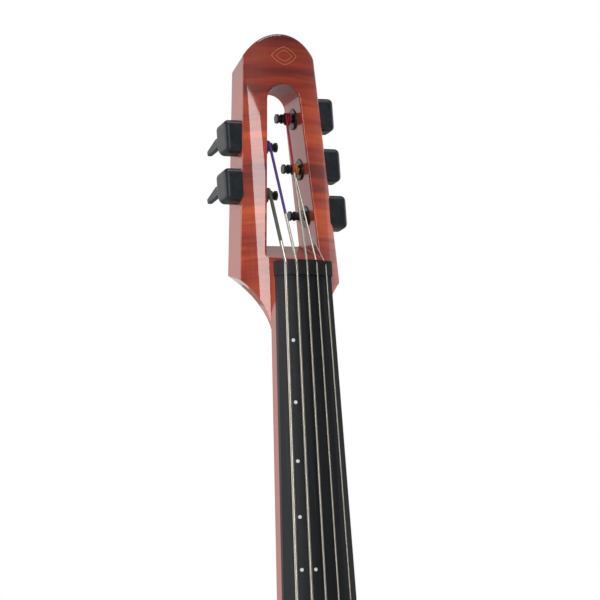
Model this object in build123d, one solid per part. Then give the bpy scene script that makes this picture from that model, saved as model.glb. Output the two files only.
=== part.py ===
from build123d import *
import math
import os

# Five-string electric double bass.  Millimetres, +Z up along the strings, front towards -Y, +X to the
# right seen from the front.  The origin is the middle of the stand plate on the body's back.
# Most places are given in the neck's own terms: x, depth behind the neck's gluing plane, and
# height above the lower edge of the nut.

NUT_HEIGHT = 800.0            # lower edge of the nut above the origin
NECK_PLANE_Y = -95.0          # the plane the fingerboard is glued on

# strings
SCALE_LENGTH = 1060.0
STRING_RADII = [1.65, 1.3, 1.0, 0.8, 0.65]
NUT_SPACING = 9.7
BRIDGE_SPACING = 20.5
STRING_BEND_RADIUS = 6.0
GROOVE_PLAY = 0.02

# fingerboard, nut and neck
BOARD_LENGTH = 830.0
BOARD_HALF_WIDTH = 26.0
BOARD_TAPER = 0.0302          # half-width gained per mm of length
BOARD_CROWN = (60.0, 100.0)   # crown radius at the nut and at the end
BOARD_HEIGHT = (12.0, 16.0)   # middle height at the nut and at the end
NUT_HALF_WIDTH = 27.0
NUT_LENGTH = 13.5
NUT_STRING_LIFT = 1.0
NECK_INSET = 0.3
NECK_SIDE_DEPTH = (12.0, 14.0)
NECK_BACK_DEPTH = (29.0, 34.0)
NECK_FREE_LENGTH = 640.0
HEEL_END = 760.0
HEEL_DEPTH = 62.0
TRUSS_SPAN = (20.0, 600.0)    # from and to, below the nut
TRUSS_HALF_WIDTH = 3.0
DOT_RADIUS = 1.6
DOT_DEPTH = 1.5
DOT_POSITIONS = [(1, 0), (2, 0), (3, 0), (4, 0), (5, 0), (5, 1)]   # semitone, gap between strings

# head
HEAD_LEAN = 2.6                # the whole head leans back by this many degrees
HEAD_FOOT_HALF_WIDTH = 48.4
HEAD_FOOT_HEIGHT = 3.0
HEAD_SHOULDER_HALF_WIDTH = 34.5
HEAD_SHOULDER_HEIGHT = 210.5
HEAD_TOP_HEIGHT = 228.6
HEAD_CORNER_RADIUS = 6.0
HEAD_CROWN_RADIUS = 80.0
HEAD_FRONT_DEPTH = 12.0
HEAD_FRONT_EDGE_DEPTH = 24.0
HEAD_TOP_LEAN = 0.27          # how far the top edge falls per mm of depth
HEAD_BACK_DEPTH = (63.5, 50.0)
FLARE_END_HALF_WIDTH = 25.7
FLARE_END = 48.0
FLARE_RISE = 12.0 / 31.0      # the flare's lower edge rises towards the back
SLOT_TOP_RADIUS = 15.7
SLOT_TOP_CENTRE = 168.0
SLOT_FOOT_HALF_WIDTH = 26.0
RAMP_FOOT = 14.0
RAMP_BACK = 45.0
HEAD_EDGE_ROUND = 2.5
SLOT_EDGE_ROUND = 1.6

# tuning machines: side, height of the post above the nut
TUNERS = [(-1, 84.4), (-1, 129.6), (1, 156.9), (1, 109.6), (1, 65.6)]
POST_DEPTH = 36.0
POST_SHAFT_RADIUS = 3.0
POST_DRUM_RADIUS = 3.5
POST_FLANGE_RADIUS = 4.4
POST_REACH = 15.4             # from the bushing's face to the post's tip
POST_PLAY = 0.05
POST_TIP_STEPS = (2.0, 3.4, 4.8, 6.2)   # ends of the flange, the two cones and the second flange
DRUM_GAP = 0.3
WINDING_TURNS = [1.5, 2.0, 2.5, 3.0, 3.5]
WINDING_GAP = 0.2
COIL_ROUNDING = 0.94          # how round the turns are
BUSHING_FLANGE_RADIUS = 9.75
BUSHING_FLANGE = 2.0
BUSHING_RADIUS = 5.5
BUSHING_GRIP = 3.0            # how far the bushing screws into the housing
HOUSING_WIDTH = 15.0
COVER_THICKNESS = 5.0
HOUSING_FRONT = -12.5
HOUSING_BACK = 14.0
HOUSING_SPAN = {-1: (-8.4, 22.6), 1: (-12.7, 18.4)}   # bottom and top, on the left and on the right
HOUSING_TOP_FALL = 1.0        # how much lower the top is at the back
HOUSING_CORNERS = [5.2, 5.2, 5.2, 11.0]
COVER_ROUND = 4.8
WORM_RADIUS = 4.6
THREAD_DEPTH = 0.6
WORM_LENGTH = 12.0
WORM_JOURNAL_RADIUS = 2.0
WORM_PLAY = 0.05
GEAR_TEETH = 16
GEAR_RADIUS = 6.2
GEAR_TOOTH = 0.6
GEAR_WIDTH = 4.0
GEAR_CENTRE = 6.8             # from the cheek's seat to the middle of the gear
GEAR_BACKLASH = 0.4
KEY_COLLAR_RADIUS = 4.0
KEY_LENGTH = 39.0
KEY_GAP = 0.4
KEY_BEND = 8.0                # how far the arm bends down from the worm's axis
KEY_HALF_WIDTHS = (3.2, 5.0, 2.4)   # at the collar, at the widest place and at the tip
KEY_THICKNESS = 4.6

# body
BODY_TOP_END = 640.0
BODY_BOTTOM_END = 1200.0
BODY_JOINT_DEPTH = 50.0
BODY_BACK_DEPTH = 93.0
BODY_FRONT_DEPTH = 33.0
BODY_CROWN_RADIUS = 400.0
BODY_EDGE_ROUND = 5.0
LOWER_HALF_WIDTH = 100.0
WAIST_HALF_WIDTH = 84.0
UPPER_HALF_WIDTH = 90.0
WAIST_POSITION = 930.0
LOWER_CORNER = 45.0
UPPER_CORNER = 50.0

# bridge and tailpiece
BRIDGE_CREST = 27.0           # string height over the neck plane at the middle
BRIDGE_CROWN = 110.0
BRIDGE_THICKNESS = 7.0
BRIDGE_HALF_WIDTH = 48.0
PICKUP_DEPTH = (31.0, 39.0)
PICKUP_HALF_WIDTH = 46.0
PICKUP_LENGTH = 12.0
TAILPIECE_TOP = 1165.0
TAILPIECE_LENGTH = 25.0
TAILPIECE_DEPTH = (15.0, 37.0)
TAILPIECE_HALF_WIDTH = 50.0
TAILPIECE_EAR = 11.0
TAIL_STRING_DEPTH = 24.0
BALL_RADIUS = 3.2
BALL_LENGTH = 5.0

# stand plate and fasteners
PLATE_HALF_WIDTH = 35.0
PLATE_HALF_HEIGHT = 52.0
PLATE_DEPTH = (88.0, 95.0)
STAND_HOLE_RADIUS = 3.4
STAND_HOLE_SPACING = 80.0
BOLT_RADIUS = 3.0
BOLT_HEAD_RADIUS = 6.0
BOLT_HEAD_HEIGHT = 5.0
BOLT_HEAD_DEPTH = 86.0
BOLT_TIP_DEPTH = 30.0
BOLT_PLACES = [(-25.0, 665.0), (25.0, 665.0), (-25.0, 725.0), (25.0, 725.0)]
SCREW_RADIUS = 1.6
SCREW_HEAD_RADIUS = 3.2
SCREW_HEAD = 2.0
SCREW_LENGTH = 16.0

# electronics
CAVITY = (0.0, 65.0, 925.0, 1015.0)      # x from, x to, length below the nut from, to
LEDGE = 5.0
LEDGE_DEPTH = 75.0
COVER_MARGIN = 14.0
COVER_DEPTH = (90.0, 93.0)
POT_X = 48.0
POT_PLACES = [950.0, 990.0]
POT_RADIUS = 8.5
POT_HEIGHT = 10.0
POT_BUSHING_RADIUS = 4.4
POT_BUSHING_FRONT = 34.0
KNOB_RADIUS = 9.0
KNOB_DEPTH = (18.0, 33.4)
SHAFT_RADIUS = 3.0
JACK_X = 32.0
JACK_DEPTH = 72.0
JACK_BORE = 3.25
JACK_LENGTH = 32.0
JACK_RADIUS = 8.0
JACK_PLATE = 2.0
BATTERY = (26.5, 17.5, 48.5)
BATTERY_BOX = (-54.0, -20.0, 60.0, 84.0, 62.0)   # x from, x to, depth from, to, length
BATTERY_WALL = 1.5
DRAWER_PLAY = 0.3
DRAWER_LIP = 3.0


def at(x, depth, height):
    """Point given by x, depth behind the neck plane and height above the nut's lower edge."""
    return Vector(x, NECK_PLANE_Y + depth, NUT_HEIGHT + height)


def front_prism(outline, depth_from, depth_to, lean=0.0):
    """Solid with an outline drawn as x against height, between two depths; lean raises it backwards."""
    drawing = Plane(origin=at(0, depth_from, lean * depth_from), x_dir=(1, 0, 0), z_dir=(0, -1, 0))
    reach = (depth_to - depth_from) * math.hypot(1.0, lean)
    return extrude(drawing * make_face(outline), amount=reach, dir=(0, 1, lean))


def side_prism(outline, x_from, x_to):
    """Solid with an outline drawn as depth against height, between two x positions."""
    drawing = Plane(origin=at(x_from, 0, 0), x_dir=(0, 1, 0), z_dir=(1, 0, 0))
    return extrude(drawing * make_face(outline), amount=x_to - x_from)


def block(x_from, x_to, depth_from, depth_to, down_from, down_to):
    """Box between two x positions, two depths and two distances below the nut."""
    size = (x_to - x_from, depth_to - depth_from, down_to - down_from)
    middle = at((x_from + x_to) / 2, (depth_from + depth_to) / 2, -(down_from + down_to) / 2)
    return Pos(*middle) * Box(*size)


def rod(start, end, radius, end_radius=None):
    """Round bar, or cone when the two radii differ, between two points."""
    run = end - start
    place = Plane(origin=start, z_dir=run)
    standing = (Align.CENTER, Align.CENTER, Align.MIN)
    if end_radius is None:
        return place * Cylinder(radius, run.length, align=standing)
    return place * Cone(radius, end_radius, run.length, align=standing)


def leaned(shape):
    """Tips something drawn on an upright head back to the head's real lean."""
    return shape.rotate(Axis(at(0, 0, 0), (1, 0, 0)), -HEAD_LEAN)


def joined(solids):
    """One shape from a list of touching or overlapping solids."""
    whole = solids[0]
    for piece in solids[1:]:
        whole = whole + piece
    return whole


def save(shape, name):
    """Writes one node's solids."""
    export_step(Compound(children=list(shape.solids())), "parts/" + name + ".step")


# ---------------------------------------------------------------- fingerboard, nut, neck

def along_board(pair, down):
    """Value that changes evenly from the nut to the fingerboard's end."""
    return pair[0] + (pair[1] - pair[0]) * down / BOARD_LENGTH


def board_half_width(down):
    """Half the fingerboard's width at a distance below the nut."""
    return BOARD_HALF_WIDTH + BOARD_TAPER * down


def crown_drop(radius, x):
    """How far a crowned surface of the given radius falls at x."""
    return radius - math.sqrt(radius ** 2 - x ** 2)


def board_surface(x, down):
    """Height of the playing surface over the neck plane."""
    return along_board(BOARD_HEIGHT, down) - crown_drop(along_board(BOARD_CROWN, down), x)


def crowned_section(half_width, side_height, middle_height, down):
    """Flat-bottomed, round-topped cross-section standing on the neck plane."""
    outline = Curve() + [
        Line((-half_width, 0), (half_width, 0)),
        Line((half_width, 0), (half_width, -side_height)),
        ThreePointArc((half_width, -side_height), (0, -middle_height), (-half_width, -side_height)),
        Line((-half_width, -side_height), (-half_width, 0)),
    ]
    return Plane(origin=at(0, 0, -down), x_dir=(1, 0, 0), z_dir=(0, 0, 1)) * make_face(outline)


def make_board_blank():
    """Long tapered ebony board with a crowned playing surface."""
    sections = []
    for down in (0.0, BOARD_LENGTH):
        half = board_half_width(down)
        sections.append(crowned_section(half, board_surface(half, down), board_surface(0, down), down))
    return loft(sections, ruled=True)


def make_dot_pins():
    """Round inlay pins at the semitone positions, long enough to pass the playing surface."""
    pins = []
    for semitone, gap in DOT_POSITIONS:
        down = SCALE_LENGTH * (1 - 2 ** (-semitone / 12))
        x = (string_x(gap, down) + string_x(gap + 1, down)) / 2
        top = board_surface(x, down)
        pins.append(rod(at(x, DOT_DEPTH - top, -down), at(x, -top - DOT_DEPTH, -down), DOT_RADIUS))
    return pins


def make_nut():
    """Black nut block whose crowned top carries the strings."""
    lift = NUT_STRING_LIFT + 1.0
    side = board_surface(NUT_HALF_WIDTH, 0) + lift
    section = crowned_section(NUT_HALF_WIDTH, side, board_surface(0, 0) + lift, 0)
    blank = extrude(section, amount=NUT_LENGTH)
    return fillet(blank.edges().filter_by(Axis.Z).sort_by(Axis.Y)[:2], 1.2)


def neck_section(down):
    """Flat-topped, round-backed cross-section of the neck."""
    share = min(down / NECK_FREE_LENGTH, 1.0)
    half = board_half_width(down) - NECK_INSET
    side = NECK_SIDE_DEPTH[0] + (NECK_SIDE_DEPTH[1] - NECK_SIDE_DEPTH[0]) * share
    back = NECK_BACK_DEPTH[0] + (NECK_BACK_DEPTH[1] - NECK_BACK_DEPTH[0]) * share
    outline = Curve() + [
        Line((-half, side), (-half, 0)),
        Line((-half, 0), (half, 0)),
        Line((half, 0), (half, side)),
        ThreePointArc((half, side), (0, back), (-half, side)),
    ]
    return Plane(origin=at(0, 0, -down), x_dir=(1, 0, 0), z_dir=(0, 0, 1)) * make_face(outline)


def make_neck_shaft():
    """Neck from the nut to the heel, with the short pedestal under the nut."""
    shaft = loft([neck_section(0), neck_section(NECK_FREE_LENGTH)], ruled=True)
    pedestal = extrude(neck_section(0), amount=NUT_LENGTH)
    heel_half = board_half_width(NECK_FREE_LENGTH) - NECK_INSET
    heel = block(-heel_half, heel_half, 0, HEEL_DEPTH, NECK_FREE_LENGTH, HEEL_END)
    return joined([shaft, pedestal, heel])


# ---------------------------------------------------------------- head

def head_side(height):
    """Half the head's width at a height above the nut."""
    run = HEAD_SHOULDER_HEIGHT - HEAD_FOOT_HEIGHT
    slope = (HEAD_FOOT_HALF_WIDTH - HEAD_SHOULDER_HALF_WIDTH) / run
    return HEAD_SHOULDER_HALF_WIDTH + slope * (HEAD_SHOULDER_HEIGHT - height)


def slot_side(height):
    """Half the slot's width at a height above the nut."""
    slope = (SLOT_FOOT_HALF_WIDTH - SLOT_TOP_RADIUS) / (SLOT_TOP_CENTRE - RAMP_FOOT)
    return SLOT_TOP_RADIUS + slope * (SLOT_TOP_CENTRE - height)


def make_head_blank():
    """Crowned head with a domed top, before the slot is cut."""
    low = -FLARE_END - HEAD_FRONT_DEPTH
    wide = head_side(low)
    shoulder = HEAD_SHOULDER_HALF_WIDTH
    outline = Curve() + [
        Line((-wide, low), (wide, low)),
        Line((wide, low), (shoulder, HEAD_SHOULDER_HEIGHT)),
        ThreePointArc((shoulder, HEAD_SHOULDER_HEIGHT), (0, HEAD_TOP_HEIGHT),
                      (-shoulder, HEAD_SHOULDER_HEIGHT)),
        Line((-shoulder, HEAD_SHOULDER_HEIGHT), (-wide, low)),
    ]
    face = make_face(outline)
    corners = face.vertices().sort_by(Axis.Y)[2:]
    face = fillet(corners, HEAD_CORNER_RADIUS)
    raised = HEAD_TOP_LEAN * HEAD_FRONT_EDGE_DEPTH
    drawing = Plane(origin=at(0, 0, raised), x_dir=(1, 0, 0), z_dir=(0, -1, 0))
    reach = HEAD_BACK_DEPTH[0] + HEAD_FRONT_DEPTH
    slab = extrude(drawing * face, amount=reach * math.hypot(1, HEAD_TOP_LEAN),
                   dir=(0, 1, -HEAD_TOP_LEAN))
    crown_axis = HEAD_FRONT_DEPTH + HEAD_CROWN_RADIUS
    crown = rod(at(0, crown_axis, 2 * low), at(0, crown_axis, 2 * HEAD_TOP_HEIGHT), HEAD_CROWN_RADIUS)
    return slab & crown & make_head_profile(low)


def make_head_profile(low):
    """Side view of the head: sloping back face and a cove that runs out inside the neck's round back."""
    back_low, back_high = HEAD_BACK_DEPTH
    over = 2 * HEAD_TOP_HEIGHT
    back_over = back_low + (back_high - back_low) * over / HEAD_TOP_HEIGHT
    foot = HEAD_FOOT_HEIGHT + HEAD_FRONT_DEPTH
    runout = NECK_SIDE_DEPTH[0]
    outline = Curve() + [
        Line((0, over), (0, low)),
        Line((0, low), (runout, low)),
        ThreePointArc((runout, low), (back_low / 2, low / 3), (back_low, foot)),
        Line((back_low, foot), (back_over, over)),
        Line((back_over, over), (0, over)),
    ]
    wide = 2 * HEAD_FOOT_HALF_WIDTH
    return side_prism(outline, -wide, wide)


def make_flare_cutter(side):
    """Removes the wood outside the hollow sweep from the wide head to the neck."""
    foot = (side * head_side(HEAD_FOOT_HEIGHT), HEAD_FOOT_HEIGHT)
    end = (side * FLARE_END_HALF_WIDTH, -FLARE_END)
    middle = (side * (FLARE_END_HALF_WIDTH + 6.5), -FLARE_END / 3)
    outside = side * 2 * HEAD_FOOT_HALF_WIDTH
    far_below = -2 * FLARE_END
    outline = Curve() + [
        ThreePointArc(foot, middle, end),
        Line(end, (end[0], far_below)),
        Line((end[0], far_below), (outside, far_below)),
        Line((outside, far_below), (outside, foot[1])),
        Line((outside, foot[1]), foot),
    ]
    edge_depth = HEAD_FRONT_DEPTH + crown_drop(HEAD_CROWN_RADIUS, foot[0])
    drawing = Plane(origin=at(0, 0, -FLARE_RISE * edge_depth), x_dir=(1, 0, 0), z_dir=(0, -1, 0))
    reach = 1.5 * HEAD_BACK_DEPTH[0] * math.hypot(1, FLARE_RISE)
    return extrude(drawing * make_face(outline), amount=reach, dir=(0, 1, FLARE_RISE))


def make_slot():
    """Long round-topped opening of the head, closed below by the sloping ramp behind the nut."""
    half = slot_side(0)
    top = SLOT_TOP_CENTRE
    radius = SLOT_TOP_RADIUS
    outline = Curve() + [
        Line((-half, 0), (half, 0)),
        Line((half, 0), (radius, top)),
        ThreePointArc((radius, top), (0, top + radius), (-radius, top)),
        Line((-radius, top), (-half, 0)),
    ]
    opening = front_prism(outline, -20, 80)
    slope = (RAMP_BACK - RAMP_FOOT) / HEAD_BACK_DEPTH[0]
    start, end, high = -20, 80, 2 * HEAD_TOP_HEIGHT
    over_ramp = Curve() + [
        Line((start, RAMP_FOOT + slope * start), (end, RAMP_FOOT + slope * end)),
        Line((end, RAMP_FOOT + slope * end), (end, high)),
        Line((end, high), (start, high)),
        Line((start, high), (start, RAMP_FOOT + slope * start)),
    ]
    return opening & side_prism(over_ramp, -2 * half, 2 * half)


def lies_on_slot(edge):
    """Whether a long edge of the slotted head runs along the slot."""
    middle = edge.center()
    height = middle.Z - NUT_HEIGHT
    return height > 20 and edge.length > 20 and abs(middle.X) < slot_side(height) + 1.5


def make_neck(head_blank, bolt_rooms):
    """Head, neck and heel in one piece, with the slot, the bushing holes and the rod's channel."""
    head = head_blank - make_flare_cutter(-1) - make_flare_cutter(1)
    head = fillet(head.edges().filter_by(lambda e: e.center().Z > NUT_HEIGHT + 20), HEAD_EDGE_ROUND)
    head = head - make_slot()
    head = fillet(head.edges().filter_by(lies_on_slot), SLOT_EDGE_ROUND)
    neck = leaned(head) + (make_neck_shaft() - leaned(make_slot()))
    for cutter in [truss_channel()] + [leaned(hole) for hole in make_cheek_cutters()] + bolt_rooms:
        neck = neck - cutter
    return neck


# ---------------------------------------------------------------- tuning machines

def bushing_seat(height):
    """x of the flat seat cut into the slot's wall for a bushing."""
    return slot_side(height - BUSHING_FLANGE_RADIUS) + 0.1


def cheek_seat(height):
    """x where a housing's foot meets the outer side of the head."""
    return head_side(height)


def post_x(side, height, reach):
    """x of a place on a post, counted from its tip towards the cheek."""
    return side * (bushing_seat(height) - BUSHING_FLANGE - POST_REACH + reach)


def across(side, height, x_from, x_to, radius, end_radius=None):
    """Round bar along a post's axis, x counted outwards from the middle of the head."""
    start = at(side * x_from, POST_DEPTH, height)
    return rod(start, at(side * x_to, POST_DEPTH, height), radius, end_radius)


def make_post(side, height):
    """String post: flanged tip, winding drum, and the shaft that carries the gear."""
    face = bushing_seat(height) - BUSHING_FLANGE
    tip = face - POST_REACH
    shaft_end = cheek_seat(height) + GEAR_CENTRE + GEAR_WIDTH / 2 + 0.5
    flange_end, waist, second, second_end = POST_TIP_STEPS
    post = joined([
        across(side, height, tip, tip + flange_end, POST_FLANGE_RADIUS),
        across(side, height, tip + flange_end, tip + waist, POST_FLANGE_RADIUS, POST_SHAFT_RADIUS),
        across(side, height, tip + waist, tip + second, POST_SHAFT_RADIUS, POST_FLANGE_RADIUS),
        across(side, height, tip + second, tip + second_end, POST_FLANGE_RADIUS),
        across(side, height, tip + second_end, face - DRUM_GAP, POST_DRUM_RADIUS),
        across(side, height, face - DRUM_GAP, shaft_end, POST_SHAFT_RADIUS),
    ])
    return leaned(post)


def make_bushing(side, height):
    """Black flanged bushing screwed through the cheek into the housing."""
    seat = bushing_seat(height)
    face = seat - BUSHING_FLANGE
    end = cheek_seat(height) + BUSHING_GRIP
    flange = across(side, height, face, seat, BUSHING_FLANGE_RADIUS)
    flange = fillet(flange.edges().sort_by(lambda e: abs(e.center().X))[0], 0.8)
    sleeve = across(side, height, seat, end, BUSHING_RADIUS)
    return leaned(flange + sleeve - across(side, height, face, end, POST_SHAFT_RADIUS + POST_PLAY))


def make_cheek_cutters():
    """Round holes through the cheeks and the flat seats for the bushings' flanges."""
    cutters = []
    for side, height in TUNERS:
        seat = bushing_seat(height)
        through = head_side(height) + 10.0
        cutters.append(across(side, height, seat, through, BUSHING_RADIUS))
        cutters.append(across(side, height, seat - 4.0, seat, BUSHING_FLANGE_RADIUS + 0.2))
    return cutters


def worm_line():
    """Distance from the post's axis up to the worm's axis."""
    return WORM_RADIUS + GEAR_RADIUS + GEAR_BACKLASH


def tuner_x(side, height):
    """x of the middle of the gear and of the worm's axis."""
    return side * (cheek_seat(height) + GEAR_CENTRE)


def worm_point(side, height, back):
    """Point on the worm's axis, a distance behind the post's axis."""
    return at(tuner_x(side, height), POST_DEPTH + back, height + worm_line())


def make_worm(side, height):
    """Single-start worm: a circle set off its axis and twisted along it, with two journals."""
    lead = 2 * math.pi * GEAR_RADIUS / GEAR_TEETH
    half = WORM_LENGTH / 2
    start = worm_point(side, height, -half)
    end_face = Plane(origin=start, x_dir=(1, 0, 0), z_dir=(0, 1, 0))
    turn = 360.0 * WORM_LENGTH / lead
    facing_gear = math.radians(90.0 - turn / 2)
    offset = Pos(THREAD_DEPTH * math.cos(facing_gear), THREAD_DEPTH * math.sin(facing_gear))
    section = (end_face * offset * Circle(WORM_RADIUS)).face()
    thread = Solid.extrude_linear_with_rotation(section, center=start, normal=(0, WORM_LENGTH, 0),
                                                angle=turn)
    front_end = worm_point(side, height, -half - 2.5)
    back_end = worm_point(side, height, half + 16.0)
    return leaned(Part() + [thread, rod(front_end, back_end, WORM_JOURNAL_RADIUS)])


def gear_point(tooth, radius):
    """Point of the gear's rim, counted in teeth from the valley that faces the worm."""
    angle = 2 * math.pi * tooth / GEAR_TEETH
    return (radius * math.sin(angle), radius * math.cos(angle))


def make_gear(side, height):
    """Gear with rounded teeth; a valley faces the worm."""
    low, high = GEAR_RADIUS - GEAR_TOOTH, GEAR_RADIUS + GEAR_TOOTH
    rim = []
    for tooth in range(GEAR_TEETH):
        before = gear_point(tooth - 0.25, GEAR_RADIUS)
        after = gear_point(tooth + 0.25, GEAR_RADIUS)
        following = gear_point(tooth + 0.75, GEAR_RADIUS)
        rim.append(ThreePointArc(before, gear_point(tooth, low), after))
        rim.append(ThreePointArc(after, gear_point(tooth + 0.5, high), following))
    drawing = Plane(origin=at(tuner_x(side, height) - GEAR_WIDTH / 2, POST_DEPTH, height),
                    x_dir=(0, 1, 0), z_dir=(1, 0, 0))
    blank = extrude(drawing * make_face(Curve() + rim), amount=GEAR_WIDTH)
    bore = across(side, height, 0, 2 * HEAD_FOOT_HALF_WIDTH, POST_SHAFT_RADIUS)
    return leaned(blank - bore)


def housing_outline(side):
    """Side view of a housing: flat front, nearly level top over the worm, round lower back."""
    bottom, top = HOUSING_SPAN[side]
    corners = [
        (HOUSING_FRONT, bottom),
        (HOUSING_FRONT, top),
        (HOUSING_BACK, top - HOUSING_TOP_FALL),
        (HOUSING_BACK, bottom),
    ]
    return FilletPolyline(*corners, radius=HOUSING_CORNERS, close=True)


def housing_slab(side, height, x_from, x_to):
    """Slab with the housing's outline between two distances from the middle of the head."""
    low, high = sorted((side * x_from, side * x_to))
    drawing = Plane(origin=at(low, POST_DEPTH, height), x_dir=(0, 1, 0), z_dir=(1, 0, 0))
    return extrude(drawing * make_face(housing_outline(side)), amount=high - low)


def worm_room(side, height):
    """Room for the worm's thread inside a housing and its cover."""
    half = WORM_LENGTH / 2 + 0.4
    return rod(worm_point(side, height, -half), worm_point(side, height, half),
               WORM_RADIUS + THREAD_DEPTH + 0.4)


def make_housing(side, height, head_blank):
    """Cast shell holding the gear and the worm, its foot fitted to the leaning cheek."""
    foot = cheek_seat(height)
    shell_end = foot + HOUSING_WIDTH - COVER_THICKNESS
    shell = housing_slab(side, height, foot - 3.0, shell_end) - head_blank
    gear_room = across(side, height, foot + GEAR_CENTRE - GEAR_WIDTH / 2 - 0.6, shell_end,
                       GEAR_RADIUS + GEAR_TOOTH + 0.6)
    journals = rod(worm_point(side, height, -WORM_LENGTH / 2 - 3.0), worm_point(side, height, 40),
                   WORM_JOURNAL_RADIUS + WORM_PLAY)
    shaft_hole = across(side, height, 0, shell_end, POST_SHAFT_RADIUS + 0.5)
    bushing_hole = across(side, height, 0, foot + BUSHING_GRIP, BUSHING_RADIUS)
    shell = shell - gear_room - worm_room(side, height) - journals
    return leaned(shell - shaft_hole - bushing_hole)


def make_cover(side, height):
    """Outer lid of a housing with rounded edges."""
    foot = cheek_seat(height)
    inner = foot + HOUSING_WIDTH - COVER_THICKNESS
    lid = housing_slab(side, height, inner, foot + HOUSING_WIDTH)
    outer_face = lid.faces().filter_by(Axis.X).sort_by(Axis.X)[-1 if side > 0 else 0]
    return leaned(fillet(outer_face.edges(), COVER_ROUND) - worm_room(side, height))


def make_key_arm(side, height, start_back):
    """Flat arm of a key: widest a little behind the collar, then tapering to a blunt tip."""
    first, widest, last = KEY_HALF_WIDTHS
    arm_back = start_back + 4.0
    wide_back = start_back + KEY_LENGTH * 0.4
    end_back = start_back + KEY_LENGTH
    outline = Curve() + [
        Line((arm_back, -first), (arm_back, first)),
        Line((arm_back, first), (wide_back, widest)),
        Line((wide_back, widest), (end_back, last)),
        Line((end_back, last), (end_back, -last)),
        Line((end_back, -last), (wide_back, -widest)),
        Line((wide_back, -widest), (arm_back, -first)),
    ]
    drawing = Plane(origin=worm_point(side, height, 0) - Vector(KEY_THICKNESS / 2, 0, 0),
                    x_dir=(0, 1, 0), z_dir=(1, 0, 0))
    arm = extrude(drawing * make_face(outline), amount=KEY_THICKNESS)
    arm = fillet(arm.edges().filter_by(Axis.X), 1.5)
    arm = fillet(arm.edges().filter_by(lambda e: abs(e.tangent_at(0.5).X) < 0.5), 1.0)
    return arm.rotate(Axis(worm_point(side, height, arm_back), (1, 0, 0)), -KEY_BEND)


def make_key(side, height):
    """Lever key on the worm's journal: round collar and a flat arm bent slightly down."""
    start_back = HOUSING_BACK + KEY_GAP
    collar_end = start_back + 5.0
    collar = joined([
        rod(worm_point(side, height, start_back), worm_point(side, height, collar_end),
            KEY_COLLAR_RADIUS),
        rod(worm_point(side, height, collar_end), worm_point(side, height, collar_end + 7.0),
            KEY_COLLAR_RADIUS, 2.6),
    ])
    bore = rod(worm_point(side, height, 0), worm_point(side, height, WORM_LENGTH / 2 + 16.0),
               WORM_JOURNAL_RADIUS)
    return leaned(collar + make_key_arm(side, height, start_back) - bore)


# ---------------------------------------------------------------- strings

def string_offset(number):
    """How many string spaces a string lies from the middle one."""
    return number - (len(STRING_RADII) - 1) / 2


def string_x(number, down):
    """x of a string at a distance below the nut."""
    spacing = NUT_SPACING + (BRIDGE_SPACING - NUT_SPACING) * down / SCALE_LENGTH
    return spacing * string_offset(number)


def bridge_rise(x):
    """Height of the strings' middle line over the neck plane at the bridge."""
    return BRIDGE_CREST - crown_drop(BRIDGE_CROWN, x)


def nut_rise(number):
    """Height of a string's middle line over the neck plane at the nut."""
    return board_surface(string_x(number, 0), 0) + NUT_STRING_LIFT + STRING_RADII[number]


def rounded_path(points, radii):
    """Straight runs between points, each corner between them rounded by its own arc."""
    edges = []
    start = points[0]
    for before, corner, after, radius in zip(points, points[1:], points[2:], radii):
        back_dir = (before - corner).normalized()
        on_dir = (after - corner).normalized()
        half_angle = math.radians(back_dir.get_angle(on_dir)) / 2
        trim = radius / math.tan(half_angle)
        enter = corner + back_dir * trim
        leave = corner + on_dir * trim
        bisector = (back_dir + on_dir).normalized()
        middle = corner + bisector * (radius / math.sin(half_angle) - radius)
        edges.append(Edge.make_line(start, enter))
        edges.append(Edge.make_three_point_arc(enter, middle, leave))
        start = leave
    edges.append(Edge.make_line(start, points[-1]))
    return edges


def post_centre(height):
    """Point of a post's axis in the middle plane, on the leaning head."""
    foot = at(0, 0, 0)
    return foot + (at(0, POST_DEPTH, height) - foot).rotate(Axis.X, -HEAD_LEAN)


def coil_radius(number):
    """Radius of a string's middle line around its post."""
    return POST_DRUM_RADIUS + DRUM_GAP + STRING_RADII[number]


def coil_corners(number, nut_point):
    """Corners of the eight-sided spiral that a string's turns around its post are rounded from."""
    side, height = TUNERS[number]
    radius = coil_radius(number)
    axis_point = post_centre(height)
    dy = nut_point.Y - axis_point.Y
    dz = nut_point.Z - axis_point.Z
    touch = math.atan2(dz, dy) - math.acos(radius / math.hypot(dy, dz))
    pitch = 2 * STRING_RADII[number] + WINDING_GAP
    turns = WINDING_TURNS[number]
    first_x = post_x(side, height, POST_REACH - 0.4 - STRING_RADII[number] - pitch * turns)
    turn_step = math.pi / 4
    reach = radius / math.cos(turn_step / 2)
    corners = []
    for step in range(round(turns * 8)):
        angle = touch - turn_step * (step + 0.5)
        x = first_x + side * pitch * (step + 0.5) / 8
        corners.append(Vector(x, axis_point.Y + reach * math.cos(angle),
                              axis_point.Z + reach * math.sin(angle)))
    return corners


def string_path(number):
    """Middle line of a string from its ball end over bridge and nut to the last turn on its post."""
    bridge_x = string_x(number, SCALE_LENGTH)
    nut_point = at(string_x(number, 0), -nut_rise(number), NUT_LENGTH - 3.0)
    coil = coil_corners(number, nut_point)
    points = [
        at(bridge_x, TAIL_STRING_DEPTH, -TAILPIECE_TOP - TAILPIECE_LENGTH + BALL_LENGTH),
        at(bridge_x, TAIL_STRING_DEPTH, -TAILPIECE_TOP + 1.0),
        at(bridge_x, -bridge_rise(bridge_x), -SCALE_LENGTH),
        nut_point,
    ]
    radii = [STRING_BEND_RADIUS] * 3 + [COIL_ROUNDING * coil_radius(number)] * (len(coil) - 1)
    return Wire(rounded_path(points + coil, radii))


def make_string(number, radius):
    """Round string swept along its whole path."""
    path = string_path(number)
    end = Plane(origin=path @ 0, z_dir=path % 0)
    return sweep(sections=(end * Circle(radius)).face(), path=path)


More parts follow.
